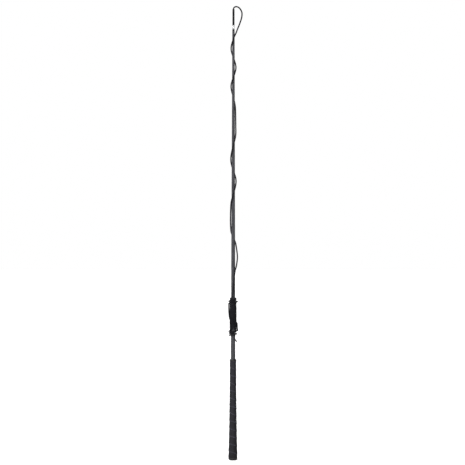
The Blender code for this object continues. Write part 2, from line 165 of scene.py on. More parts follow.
# The last run of the hank and the wraps: angle in degrees, stand-off from the runs that lie on the shaft, and
# height above the hank's foot, both in millimetres
WRAPS = (
    (-206, 0.0, 102.8), (-180, 0.0, 102.8), (-150, 0.6, 103.0), (-136, 2.4, 103.6),
    (-122, 4.2, 105.0), (-106, 4.9, 106.6), (-90, 5.0, 107.6), (-60, 4.8, 108.0),
    (-30, 4.7, 108.2), (0, 4.7, 108.0), (35, 4.7, 107.4), (65, 4.8, 106.6),
    (90, 5.0, 105.8), (115, 4.9, 104.6), (145, 4.8, 103.4), (180, 4.6, 102.4),
    (205, 4.3, 101.2), (228, 3.8, 100.4), (245, 4.0, 100.4), (256, 4.7, 100.2),
    (264, 5.0, 98.8), (269, 5.2, 95.6), (272, 5.2, 91.0), (274, 5.2, 85.0),
    (276, 5.1, 78.0), (280, 4.9, 70.0), (285, 4.6, 62.0), (292, 4.4, 54.0),
    (302, 4.4, 48.0), (316, 4.5, 43.5), (335, 4.6, 40.5), (360, 4.6, 38.0),
    (385, 4.7, 36.2), (405, 4.9, 34.0), (420, 5.1, 31.0), (430, 4.8, 26.0),
    (436, 4.6, 20.0), (441, 4.7, 12.0), (450, 5.3, 7.0), (460, 5.8, 4.0),
    (475, 5.4, 3.2), (495, 4.9, 3.4), (540, 4.7, 3.6), (585, 4.7, 2.8),
    (610, 4.4, 2.0), (630, 4.2, 1.6), (655, 3.4, 1.2), (690, 2.0, 0.6),
    (720, 1.2, 0.0), (760, 0.6, -0.2), (810, 0.4, -0.6), (860, 0.4, -1.0),
    (900, 0.4, -1.8), (950, 1.2, -3.4), (990, 3.2, -4.8), (1030, 1.6, -5.4),
    (1080, 0.4, -5.0), (1130, 1.0, -6.4), (1170, 2.7, -8.2), (1215, 1.7, -8.8),
    (1260, 0.4, -9.2), (1310, 1.4, -11.2), (1350, 2.5, -12.2), (1390, 1.5, -12.0),
    (1420, 0.4, -11.2), (1445, 0.4, -11.6), (1464, 0.6, -12.6),
)

# The popper, from the knot down: fall in metres, angle in degrees, stand-off in millimetres
POPPER = (
    (0.0000, 24, 0.4),
    (0.0040, 28, 0.4),
    (0.0080, 35, 0.5),
    (0.0112, 44, 0.8),
    (0.0134, 58, 1.0),
    (0.0152, 74, 1.2),
    (0.0170, 82, 2.2),
    (0.0186, 86, 3.8),
)


# Shapes


def around(angle, radius, z):
    """Points at an angle from the front towards the right, a radius from the axis and a height."""
    angle, radius, z = np.broadcast_arrays(angle, radius, z)
    return np.stack([radius * np.sin(angle), -radius * np.cos(angle), z], axis=-1)


def once_round(count):
    """A row of shares of a turn, evenly spaced."""
    return np.linspace(0, 1, count, endpoint=False)[None, :]


def travelled(line, **ends):
    """How far along a line each of its points lies."""
    return np.concatenate([[0], np.cumsum(np.linalg.norm(np.diff(line, axis=0, **ends), axis=1))])


def bell(x, middle, width):
    """A bell curve of height one."""
    return np.exp(-((x - middle) / width) ** 2)


def from_ends(z, foot, top, reach):
    """Grows from 0 at the foot and the top to 1 at a reach inside them."""
    return np.clip(np.minimum(z - foot, top - z) / reach, 0, 1)


def rings_of(node):
    """The heights, inner radii and outer radii of a turned CAD node, ring by ring."""
    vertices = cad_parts[node].data.vertices
    points = np.empty(3 * len(vertices), np.float32)
    vertices.foreach_get("co", points)
    points = points.reshape(-1, 3).astype(float)
    points = points[np.argsort(points[:, 2])]
    ring = np.concatenate([[0], np.cumsum(np.diff(points[:, 2]) > SAME_RING)])
    radius = np.hypot(points[:, 0], points[:, 1])
    heights = np.bincount(ring, weights=points[:, 2]) / np.bincount(ring)
    inner, outer = np.full(len(heights), np.inf), np.zeros(len(heights))
    np.minimum.at(inner, ring, radius)
    np.maximum.at(outer, ring, radius)
    return heights, inner, outer


SHAFT_RINGS = rings_of("shaft_cover")


def shaft_radius(z):
    """The braided shaft's outer radius at a height."""
    return np.interp(z, SHAFT_RINGS[0], SHAFT_RINGS[2])


def cubic(t, width, start, end, leaving, arriving):
    """A cubic from start to end as t goes from 0 to 1 over a width, with the slopes it leaves and arrives at."""
    first = (1 + 2 * t) * (1 - t) ** 2 * start + t * (1 - t) ** 2 * width * leaving
    return first + (t * t * (3 - 2 * t) * end - t * t * (1 - t) * width * arriving)


def ease(xs, ys, x):
    """A smooth curve through the points (xs, ys), with xs growing, that never passes a peak or a dip: cubic
    pieces whose slopes at the points are harmonic means of the slopes beside them."""
    xs, ys = np.array(xs, float), np.array(ys, float)
    step = np.diff(xs)
    slope = np.diff(ys) / step
    product, total = slope[:-1] * slope[1:], slope[:-1] + slope[1:]
    inner = np.where(product > 0, 2 * product / np.where(total == 0, 1, total), 0)
    at = np.concatenate([[slope[0]], inner, [slope[-1]]])
    i = np.clip(np.searchsorted(xs, x, side="right") - 1, 0, len(step) - 1)
    return cubic((x - xs[i]) / step[i], step[i], ys[i], ys[i + 1], at[i], at[i + 1])


def smooth_line(points, step):
    """Points a step apart along a smooth curve through the given ones: cubic pieces whose slopes come from the
    points on both sides."""
    points = np.array(points, float)
    reached = travelled(points)
    fine = np.linspace(0, reached[-1], int(4 * reached[-1] / step))
    slopes = np.gradient(points, reached, axis=0)
    i = np.clip(np.searchsorted(reached, fine, side="right") - 1, 0, len(points) - 2)
    width = (reached[i + 1] - reached[i])[:, None]
    t = (fine - reached[i])[:, None] / width
    line = cubic(t, width, points[i], points[i + 1], slopes[i], slopes[i + 1])
    reached = travelled(line)
    even = np.linspace(0, reached[-1], round(reached[-1] / step) + 1)
    return np.stack([np.interp(even, reached, line[:, k]) for k in range(3)], axis=1)


def unit(vectors):
    """The vectors at length one."""
    return vectors / np.linalg.norm(vectors, axis=-1, keepdims=True)


def frames_along(line, closed=False):
    """Two directions across a line at each point that turn as little as they can from point to point. Any two
    directions across it are taken first; each is carried to the next point by the smallest turn between the
    tangents, and the angle it then makes with the next one is summed along the line and taken out."""
    ahead = np.roll(line, -1, axis=0) - np.roll(line, 1, axis=0) if closed else np.gradient(line, axis=0)
    tangent = unit(ahead)
    least = np.eye(3)[np.argmin(np.abs(tangent), axis=1)]
    side = unit(np.cross(least, tangent))
    up = np.cross(tangent, side)
    here, after = tangent[:-1], tangent[1:]
    share = np.sum(after * side[:-1], axis=1) / (1 + np.sum(here * after, axis=1))
    carried = side[:-1] - share[:, None] * (here + after)
    angle = np.arctan2(np.sum(carried * up[1:], axis=1), np.sum(carried * side[1:], axis=1))
    angle = np.concatenate([[0], np.cumsum(angle)])[:, None]
    return np.cos(angle) * side + np.sin(angle) * up, np.cos(angle) * up - np.sin(angle) * side


def rings_across(line, radius, u, closed=False):
    """Rings of points across a line, a radius from it, at shares u of a turn."""
    across, up = frames_along(line, closed)
    angle = TURN * u[..., None]
    return line[:, None] + radius[..., None] * (np.cos(angle) * across[:, None] + np.sin(angle) * up[:, None])


def weave(u, v, strands, floats):
    """The relief of a braid over a surface whose u goes once round and whose v grows with height, both in
    turns. Strands of one set keep u + v, those of the other u - v. Each goes over a number of others and then
    under as many. Where it is on top its height is a power of a sine across its width times one along the
    stretch that shows."""
    p, q = strands * (u + v), strands * (u - v)
    a, b = np.floor(p), np.floor(q)
    first = np.mod(q + a, 2 * floats) / floats
    second = np.mod(p + b, 2 * floats) / floats - 1
    over_first, over_second = (
        np.sin(math.pi * across) ** ROUNDNESS * np.sin(math.pi * np.clip(shown, 0, 1)) ** DIP
        for across, shown in ((p - a, first), (q - b, second)))
    return np.where(first < 1, over_first, over_second)


def softened(profile, radius, steps=5):
    """A closed outline of (radius, height) points with each corner replaced by a parabola that leaves the sides
    that far from the corner, or a third of the way along a short side."""
    points = np.array(profile, float)
    start, end = (
        points + np.minimum(radius / np.linalg.norm(side, axis=1), 1 / 3)[:, None] * side
        for side in (np.roll(points, way, axis=0) - points for way in (1, -1)))
    t = np.linspace(0, 1, steps)[None, :, None]
    curve = (1 - t) ** 2 * start[:, None] + 2 * t * (1 - t) * points[:, None] + t * t * end[:, None]
    return curve.reshape(-1, 2)


# Meshes


def placed(name, data):
    """A new object in the scene."""
    made = bpy.data.objects.new(name, data)
    bpy.context.scene.collection.objects.link(made)
    return made


def surface(name, points, faces, finish):
    """A new smooth mesh in the scene, with its material."""
    mesh = bpy.data.meshes.new(name)
    mesh.from_pydata(points.tolist(), [], faces)
    mesh.shade_smooth()
    mesh.materials.append(finish)
    return placed(name, mesh)


def skin(name, grid, finish, v=None, ring=False, **marks):
    """A mesh over a grid of points, rows by columns, that closes round its columns. With ring it closes round
    its rows as well, and otherwise a fan shuts each end. The map's u goes once round and its v has a value for
    each row, and one more where the rows close. Marks are values at the points of the first rows; the rest
    are nought."""
    rows, columns = grid.shape[:2]
    bands = rows if ring else rows - 1
    i, j = np.arange(bands)[:, None], np.arange(columns)[None, :]
    above, beside = (i + 1) % rows * columns, (j + 1) % columns
    sides = np.broadcast_arrays(i * columns + j, i * columns + beside, above + beside, above + j)
    faces = np.stack(sides, axis=-1).reshape(-1, 4).tolist()
    points = grid.reshape(-1, 3)
    u = np.linspace(0, 1, columns + 1)
    v = np.linspace(0, 1, bands + 1) if v is None else np.asarray(v, float)
    mapped = [np.stack(np.broadcast_arrays(
        np.stack([u[j], u[j + 1], u[j + 1], u[j]], axis=-1),
        np.stack([v[i], v[i], v[i + 1], v[i + 1]], axis=-1)), axis=-1).reshape(-1, 2)]
    if not ring:
        points = np.concatenate([points, grid[[0, -1]].mean(axis=1)])
        j, beside, middle = j[0], beside[0], (u[:-1] + u[1:]) / 2
        last, centre = (rows - 1) * columns, rows * columns + 0 * j
        for corners, shares, at in (
                ((beside, j, centre), (u[1:], u[:-1], middle), v[0]),
                ((last + j, last + beside, centre + 1), (u[:-1], u[1:], middle), v[-1])):
            faces += np.stack(corners, axis=1).tolist()
            mapped.append(np.stack([np.stack(shares, 1), np.full((columns, 3), at)], -1).reshape(-1, 2))
    piece = surface(name, points, faces, finish)
    layer = piece.data.uv_layers.new(name="Weave")
    layer.uv.foreach_set("vector", np.concatenate(mapped).astype(np.float32).ravel())
    for mark, values in marks.items():
        filled = np.zeros(len(points), np.float32)
        filled[:len(values) * columns] = np.broadcast_to(values, (len(values), columns)).ravel()
        piece.data.attributes.new(mark, "FLOAT", "POINT").data.foreach_set("value", filled)
    return piece


def tube(name, radius, z, bore, finish, turns=None, **marks):
    """A piece with a hole: its radius outside, at rows of heights going up and columns round it, then its bore,
    a row for each (radius, height) going down. turns are the braid's turns at the rows outside."""
    angle = TURN * once_round(radius.shape[1])
    bore = np.array(bore)
    grid = np.concatenate([around(angle, radius, z), around(angle, bore[:, :1], bore[:, 1:])])
    v = None if turns is None else np.concatenate([turns, turns[[-1, 0, 0]]])
    return skin(name, grid, finish, v, ring=True, **marks)


def turned(name, profile, finish, columns=64, edge=0.0, wear=None):
    """A turned piece: an outline of (radius, height) points carried round the axis. With an edge the outline is
    a closed one, up the outer side and down the inner one, and its corners are softened by that much."""
    outline = softened(profile, edge) if edge else np.array(profile)
    grid = around(TURN * once_round(columns), outline[:, :1], outline[:, 1:])
    v = travelled(outline, append=outline[:1]) if edge else None
    marks = {"wear": wear(*outline.T)[:, None]} if wear else {}
    return skin(name, grid, finish, v, ring=bool(edge), **marks)


def cord_skin(name, line, radius, finish, sides, lead, depth, strands=0, plies=0):
    """A cord along a line: rings across it whose radius is the cord's own, less the depth of a braid's relief or
    of the furrows between twisted plies, which go once round in a lead."""
    v = np.arange(len(line)) * np.linalg.norm(line[1] - line[0]) / lead
    u = once_round(sides)
    if strands:
        relief = weave(u, v[:, None], strands, 1)
    else:
        relief = np.abs(np.sin(math.pi * plies * (u + v[:, None]))) ** ROUNDNESS
    radius = np.broadcast_to(radius, len(line))[:, None] - depth * (1 - relief)
    return skin(name, rings_across(line, radius, u), finish, v, relief=relief)


# Finishes


class Finish:
    """A Principled material and the nodes that feed it. Where a node takes a colour, a number stands for that
    share of the material's own colour."""

    def __init__(self, name, colour, roughness, **sockets):
        self.material = bpy.data.materials.new(name)
        self.material.use_nodes = True
        self.nodes = self.material.node_tree.nodes
        self.links = self.material.node_tree.links
        self.sockets = self.nodes["Principled BSDF"].inputs
        self.own = colour
        self.material.diffuse_color = (*colour, 1)
        self.put("Base Color", (*colour, 1))
        self.put("Roughness", roughness)
        for socket, value in sockets.items():
            self.put(socket.replace("_", " "), value)

    def put(self, socket, value, sockets=None):
        """Sets a socket, the shader's unless others are given, to a value or joins it to an output."""
        socket = (self.sockets if sockets is None else sockets)[socket]
        if isinstance(value, bpy.types.NodeSocket):
            self.links.new(value, socket)
        else:
            socket.default_value = value

    def node(self, kind, inputs=None, **settings):
        """Adds a node with these settings and inputs."""
        made = self.nodes.new(kind)
        for setting, value in settings.items():
            setattr(made, setting, value)
        for socket, value in (inputs or {}).items():
            self.put(socket, value, made.inputs)
        return made

    def math(self, operation, *values):
        return self.node("ShaderNodeMath", dict(enumerate(values)), operation=operation).outputs[0]

    def times(self, first, second):
        return self.math("MULTIPLY", first, second)

    def plus(self, first, second):
        return self.math("ADD", first, second)

    def minus(self, first, second):
        return self.math("SUBTRACT", first, second)

    def sine(self, value, factor):
        """The sine of a value times a factor."""
        return self.math("SINE", self.times(value, factor))

    def coordinates(self, output="Object", scale=(1, 1, 1)):
        """Texture coordinates, scaled."""
        source = self.node("ShaderNodeTexCoord").outputs[output]
        return self.node("ShaderNodeMapping", {"Vector": source, "Scale": scale}).outputs[0]

    def parts(self, vector):
        """The three parts of a vector."""
        return self.node("ShaderNodeSeparateXYZ", {0: vector}).outputs

    def noise(self, scale, detail=3.0, roughness=0.55):
        """Noise from 0 to 1, with one scale or one for each axis."""
        even, axes = (scale, (1, 1, 1)) if isinstance(scale, float) else (1.0, scale)
        inputs = {"Vector": self.coordinates(scale=axes), "Scale": even, "Detail": detail, "Roughness": roughness}
        return self.node("ShaderNodeTexNoise", inputs).outputs["Fac"]

    def mark(self, name):
        """A value stored at the mesh's points."""
        return self.node("ShaderNodeAttribute", attribute_name=name).outputs["Fac"]

    def between(self, value, low, high, to_low=0.0, to_high=1.0):
        """A value mapped from one range to another and held inside it."""
        inputs = {"Value": value, "From Min": low, "From Max": high, "To Min": to_low, "To Max": to_high}
        return self.node("ShaderNodeMapRange", inputs, clamp=True).outputs[0]

    def blend(self, share, *colours):
        """Two colours mixed by a share."""
        made = self.node("ShaderNodeMix", data_type="RGBA")
        sockets = {socket.identifier: socket for socket in made.inputs}
        self.put("Factor_Float", share, sockets)
        for socket, value in zip(("A_Color", "B_Color"), colours):
            if isinstance(value, float):
                value = (*(min(1.0, part * value) for part in self.own), 1)
            self.put(socket, value, sockets)
        return next(output for output in made.outputs if output.identifier == "Result_Color")

    def done(self, colour, *rough):
        """The material, with its colour joined up and its roughness going with a value between two ranges."""
        self.put("Base Color", colour)
        if rough:
            self.put("Roughness", self.between(*rough))
        return self.material

    def bump(self, height, distance):
        """Raises the surface by a height from 0 to 1 times a distance, on top of any bump it has."""
        made = self.node("ShaderNodeBump", {"Height": height, "Distance": distance, "Strength": 1.0})
        if self.sockets["Normal"].links:
            self.put("Normal", self.sockets["Normal"].links[0].from_socket, made.inputs)
        self.put("Normal", made.outputs[0])


def braid_finish(name, colour, roughness, strands, filaments, depth, floats=1, sheen=0.04, specular=0.2):
    """Braided yarn: painted shade that darkens the grooves against the crowns, fine filaments along whichever
    strand is on top, a tone that drifts along the length, and pale lint here and there."""
    made = Finish(name, colour, roughness, Sheen_Weight=sheen, Sheen_Roughness=0.4, Specular_IOR_Level=specular)
    u, v, _ = made.parts(made.coordinates("UV"))
    p, q = made.times(made.plus(u, v), strands), made.times(made.minus(u, v), strands)
    place = made.math("FLOORED_MODULO", made.plus(q, made.math("FLOOR", p)), 2.0 * floats)
    on_top = made.math("LESS_THAN", place, float(floats))
    on_strand = made.plus(made.times(on_top, p), made.times(made.minus(1.0, on_top), q))
    ridges = made.sine(on_strand, TURN * filaments)
    crown = made.sine(made.math("FRACT", on_strand), math.pi)
    made.bump(made.plus(made.times(ridges, 0.18), crown), depth)
    speckle = made.noise(2400.0, 2.0)
    # Painted shade: the relief mark darkens the grooves between strands and lightens the crowns, mixed with a
    # random speckle.
    light = made.between(made.plus(made.mark("relief"), made.times(speckle, 0.5)), 0.35, 1.35)
    yarn = made.blend(made.between(made.noise(22.0, 2.0), 0.35, 0.7, 0.0, 0.35), made.blend(light, 0.35, 1.15), 1.7)
    lint = made.between(made.noise(5200.0, 1.0), 0.74, 0.82, 0.0, 0.35)
    return made.done(made.blend(lint, yarn, LINT), speckle, 0.3, 0.7, roughness - 0.08, roughness + 0.12)


def ply_finish(name, colour, fibres):
    """Twisted yarn: fibres that run along the cord across each ply, painted shade that darkens the furrows against
    the crowns, and a tone that varies from fibre to fibre."""
    made = Finish(name, colour, 0.62, Sheen_Weight=0.15, Specular_IOR_Level=0.25)
    waver = made.times(made.noise(300.0, 2.0), 0.02)
    made.bump(made.sine(made.plus(made.parts(made.coordinates("UV"))[0], waver), TURN * fibres), 0.00006)
    # Painted shade: the relief mark darkens the furrows between plies and lightens their crowns.
    yarn = made.blend(made.between(made.mark("relief"), 0.2, 0.95), 0.22, 1.2)
    return made.done(made.blend(made.between(made.noise(2600.0), 0.3, 0.7, 0.0, 0.5), yarn, 2.2))


def tape_finish(name, colour):
    """Grip tape: a fine pebbled grain, each turn's edge painted paler as wear and as a painted highlight, a painted
    shadow in the furrow under each edge, and darker towards the wide end at the butt."""
    made = Finish(name, colour, 0.62, Specular_IOR_Level=0.28, Sheen_Weight=0.03)
    pebbles = made.node("ShaderNodeTexVoronoi", {"Vector": made.coordinates(), "Scale": 1300.0})
    made.bump(pebbles.outputs["Distance"], 0.00009)
    made.bump(made.noise(700.0, 4.0), 0.00016)
    patches = made.noise((60, 60, 22))
    # The tone grows darker towards the butt.
    base = made.blend(made.between(made.parts(made.coordinates())[2], -0.18, 0.17), 0.34, 0.92)
    base = made.blend(made.between(patches, 0.3, 0.75, 0.0, 0.6), base, 1.55)
    # Wear and a painted highlight: each turn's edge is painted paler, more so where the noise is high.
    rubbed = made.times(made.mark("wear"), made.between(made.noise(90.0), 0.3, 0.6, 0.45, 1.0))
    base = made.blend(made.times(rubbed, 0.85), base, 3.9)
    # Painted shadow: the furrow under each turn's edge is darkened.
    base = made.blend(made.times(made.mark("furrow"), 0.8), base, 0.22)
    return made.done(base, patches, 0.3, 0.7, 0.55, 0.72)


def rubber_finish(name, colour):
    """Moulded rubber: a faint orange-peel skin, rubbed paler at the rim, with scuffs drawn round it."""
    made = Finish(name, colour, 0.5, Specular_IOR_Level=0.45)
    made.bump(made.noise(1500.0), 0.00006)
    scuff = made.noise((90, 90, 900), 4.0)
    rubbed = made.times(made.mark("wear"), made.between(scuff, 0.35, 0.65))
    base = made.blend(made.between(made.noise(90.0, 2.0), 0.3, 0.7), 0.8, 1.25)
    return made.done(made.blend(rubbed, base, 4.5), scuff, 0.3, 0.7, 0.42, 0.62)


def metal_finish(name, colour, roughness):
    """Plated metal: turning lines round it, fine scratches and dull smears."""
    made = Finish(name, colour, roughness, Metallic=1.0)
    smears = made.noise(420.0)
    made.bump(made.noise((20, 20, 9000), 2.0), 0.00001)
    made.bump(made.noise((500, 500, 2600), 5.0, 0.7), 0.000008)
    tone = made.blend(made.between(smears, 0.35, 0.75), 1.0, 0.82)
    return made.done(tone, smears, 0.3, 0.75, roughness, roughness + 0.16)


def streak_finish(name, colour, roughness, scale, contrast, depth, **sockets):
    """A plain material with streaks or cells: noise stretched by a scale shifts its tone and raises it."""
    made = Finish(name, colour, roughness, **sockets)
    streaks = made.noise(scale, 4.0)
    made.bump(streaks, depth)
    tone = made.blend(made.between(streaks, 0.3, 0.7), 1 - contrast, 1 + contrast)
    return made.done(tone, streaks, 0.3, 0.7, roughness - 0.06, roughness + 0.08)


def belongs(piece, body, slot, *nodes):
    """The piece rides on a body and stands for CAD nodes, which it hides. The slot is not used."""
    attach(piece, body)
    if nodes:
        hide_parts(*nodes)
    return piece


# Settings


def a_length(name, description, default, least=0.0, most=10.0):
    return bpy.props.FloatProperty(name=name, description=description, default=default, unit="LENGTH",
                                   precision=5, min=least, max=most)


def an_angle(name, description, degrees):
    return bpy.props.FloatProperty(name=name, description=description, default=math.radians(degrees),
                                   subtype="ANGLE")


def a_colour(name, description, default):
    return bpy.props.FloatVectorProperty(name=name, description=description, default=default, subtype="COLOR",
                                         size=3, min=0.0, max=1.0)


def a_count(name, description, default, least, most=1000):
    return bpy.props.IntProperty(name=name, description=description, default=default, subtype="UNSIGNED",
                                 min=least, max=most)


def a_strength(name, description, default):
    return bpy.props.FloatProperty(name=name, description=description, default=default, subtype="UNSIGNED",
                                   min=0.0)


class ShaftSettings(bpy.types.PropertyGroup):
    """The braided shaft."""

    strands: a_count("Strands", "Strands each way round the shaft, an even number", 8, 4, 16)
    floats: a_count("Floats", "How many strands each passes over and then under", 2, 1, 2)
    rows_in_cell: a_count("Rows", "Rows of points up one strand's width", 6, 4, 10)
    columns_in_cell: a_count("Columns", "Columns of points across one strand", 8, 4, 12)
    depth: a_length("Depth", "Depth of the furrows between strands", 0.00026, 0.0, 0.001)
    swell: a_length("Swell", "How far the crowns of the strands stand out", 0.00015, 0.0, 0.0003)
    hidden: a_length("Hidden length", "How far the braid's relief starts inside the grip", 0.008)
    thread: a_length("Thread", "Rise of one turn of the thread that whips the tip", 0.00066, 0.0002)
    braid_colour: a_colour("Braid", "Colour of the braid", (0.056, 0.056, 0.065))
    thread_colour: a_colour("Whipping", "Colour of the whipping thread", (0.010, 0.010, 0.011))


class GripSettings(bpy.types.PropertyGroup):
    """The taped handle."""

    pitch: a_length("Pitch", "Rise of one turn of tape", 0.0268, 0.01, 0.08)
    lap: a_length("Lap", "How far a turn's edge stands above the turn below", 0.00085, 0.0, 0.002)
    rows: a_count("Rows", "Rows of points up the grip", 700, 100)
    columns: a_count("Columns", "Columns of points round it", 96, 24)
    dome: a_length("Dome", "Height of the butt cap's dome", 0.0042, 0.001, 0.01)
    flat: a_length("Flat", "Radius of the flat on the butt cap", 0.0070, 0.002, 0.012)
    colour: a_colour("Tape", "Colour of the tape", (0.0155, 0.0146, 0.0205))
    flare: a_length("Flare", "How far the collar stands out past its frame", 0.0017, 0.0, 0.002)
    rubber: a_colour("Rubber", "Colour of the cap and the collar", (0.010, 0.010, 0.011))


class SwivelSettings(bpy.types.PropertyGroup):
    """The swivel at the tip and the sleeve on it."""

    edge: a_length("Edge", "How far the rolled edges are softened", 0.0006, 0.0001, 0.001)
    bead: a_length("Bead", "Height of the bead rolled round each half", 0.00035, 0.0, 0.001)
    metal: a_colour("Metal", "Colour of the plating", (0.90, 0.90, 0.91))
    sleeve_build: a_length("Sleeve build", "How far the sleeve's yarn stands out", 0.0005, 0.0, 0.001)
    sleeve: a_colour("Sleeve", "Colour of the keeper's woven sleeve", (0.0075, 0.0073, 0.0085))


class LashSettings(bpy.types.PropertyGroup):
    """The lash, its knot and its popper."""

    diameter: a_length("Diameter", "Diameter of the lash", 0.0046, 0.002, 0.008)
    swell: a_length("Swell", "How much wider the braid's crowns are than the cord", 0.0004, 0.0, 0.001)
    popper: a_length("Popper", "Diameter of the popper", 0.0045, 0.001, 0.006)
    knot: a_length("Knot cord", "Diameter of the cord that the knot is tied in", 0.0032, 0.001, 0.004)
    knot_size: a_length("Knot", "Width of the knot", 0.0096, 0.005, 0.015)
    step: a_length("Ring step", "Distance between two rings of points along the lash", 0.0009, 0.0003)
    sides: a_count("Sides", "Points round the lash", 20, 8)
    strands: a_count("Strands", "Strands each way", 4, 2, 12)
    depth: a_length("Depth", "Depth of the furrows between strands", 0.00022, 0.0, 0.001)
    first_left: an_angle("First left run", "Where the lash comes down into the hank", -10)
    first_right: an_angle("First right run", "Where it first goes up again", 18)
    runs: a_count("Runs", "Runs on each side of the hank", 4, 1, 4)
    run_angle: an_angle("Run spacing", "Angle between two runs", 28)
    corner: a_length("Corner", "Radius of the tightest fold's corners", 0.0092, 0.004)
    cord_colour: a_colour("Cord", "Colour of the lash", (0.0056, 0.0051, 0.0086))
    popper_colour: a_colour("Popper", "Colour of the popper", (0.024, 0.023, 0.029))


class StageSettings(bpy.types.PropertyGroup):
    """The floor, the lights and the camera."""

    distance: a_length("Distance", "Distance from the camera to the whip's axis", 6.0, 1.0)
    view: a_length("View", "Width of the view at the whip's axis", 1.6386, 0.2)
    aside: a_length("Aside", "How far the camera stands left of the axis", 0.0025, -1.0)
    above: a_length("Above", "How far the camera stands above the whip's middle", 0.0021, -1.0)
    roll: an_angle("Roll", "How far the camera leans", -0.073)
    floor_colour: a_colour("Floor", "Colour of the floor", (0.88, 0.88, 0.88))
    glow: a_strength("Glow", "How bright the floor looks", 0.72)
    sun: a_strength("Sun", "Strength of the broad light", 2.6)
    back: a_strength("Back", "Strength of the light behind", 1.0)
    strip: a_strength("Strip", "Power of the tall soft light", 26.0)
    ambient: a_strength("Ambient", "Light from all round", 0.10)


GROUPS = {
    "whip_shaft": ShaftSettings,
    "whip_grip": GripSettings,
    "whip_swivel": SwivelSettings,
    "whip_lash": LashSettings,
    "whip_stage": StageSettings,
}


# The shaft


class MakeShaft(bpy.types.Operator):
    """Makes the braid over the shaft and the thread whipping that ends it"""

    bl_idname = "whip.make_shaft"
    bl_label = "Shaft"

    def execute(self, context):
        settings = context.scene.whip_shaft
        self.braid(settings)
        self.whipping(settings)
        return {"FINISHED"}

    def braid(self, settings):
        """The braid: the shaft's radius at each height plus the weave's relief, which fades in inside the grip."""
        heights, inner, _ = SHAFT_RINGS
        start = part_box("grip_collar")[0].z - settings.hidden
        z, turns = self.rows(settings, heights[0], start, heights[-1])
        u = once_round(settings.strands * settings.columns_in_cell)
        relief = weave(u, turns[:, None], settings.strands, settings.floats)
        shown = np.clip((z - start) / settings.hidden, 0, 1)[:, None]
        radius = shaft_radius(z)[:, None] + (settings.swell - settings.depth * (1 - relief)) * shown
        finish = braid_finish("shaft_braid", settings.braid_colour, 0.42, settings.strands, 7, 0.00018,
                              settings.floats, sheen=0.1, specular=0.35)
        bore = np.stack([inner, heights], 1)[::-1]
        piece = tube("shaft_braid", radius, z[:, None], bore, finish, turns, relief=relief)
        belongs(piece, "stick", "shaft_braid", "shaft_cover")

    def rows(self, settings, foot, start, top):
        """Heights of the rows and the braid's turns at each: the turns grow by the rise over the circumference,
        so that the strands keep one slope as the shaft narrows. With a radius that falls steadily that sum is a
        logarithm of the radius. Rows are even in turns, and a few plain ones reach down inside the grip."""
        low, high = shaft_radius(start), shaft_radius(top)
        taper = (low - high) / (top - start)
        total = math.log(low / high) / (TURN * taper)
        turns = np.linspace(0, total, int(total * settings.strands * settings.rows_in_cell))
        z = start + (low - low * np.exp(-TURN * taper * turns)) / taper
        below = np.linspace(foot, start, PLAIN_ROWS + 1)[:-1]
        return np.concatenate([below, z]), np.concatenate([(below - start) / (TURN * low), turns])

    def whipping(self, settings):
        """The whipping: the radius swells and sinks by half a sine over each turn of thread, and the turns rise
        in a spiral."""
        heights, inner, outer = rings_of("tip_collar")
        foot, top = heights[0] - GAP, heights[-1] + GAP
        z = np.linspace(foot, top, int((top - foot) / settings.thread * ROWS_IN_THREAD))[:, None]
        u = once_round(WHIPPING_COLUMNS)
        turn = np.mod((z - foot) / settings.thread + u, 1)
        thread = np.sqrt(np.clip(np.sin(math.pi * turn), 0, 1))
        ends = from_ends(z, foot, top, settings.thread)
        radius = outer.max() - settings.thread / 2 * (1 - thread * np.sqrt(ends))
        bore = [(inner.min(), top), (inner.min(), foot)]
        finish = streak_finish("thread_whipping", settings.thread_colour, 0.45, (900, 900, 300), 0.5, 0.00003,
                               Sheen_Weight=0.2)
        piece = tube("tip_whipping", radius, z, bore, finish, relief=thread)
        belongs(piece, "stick", "thread_whipping", "tip_collar")


# The handle


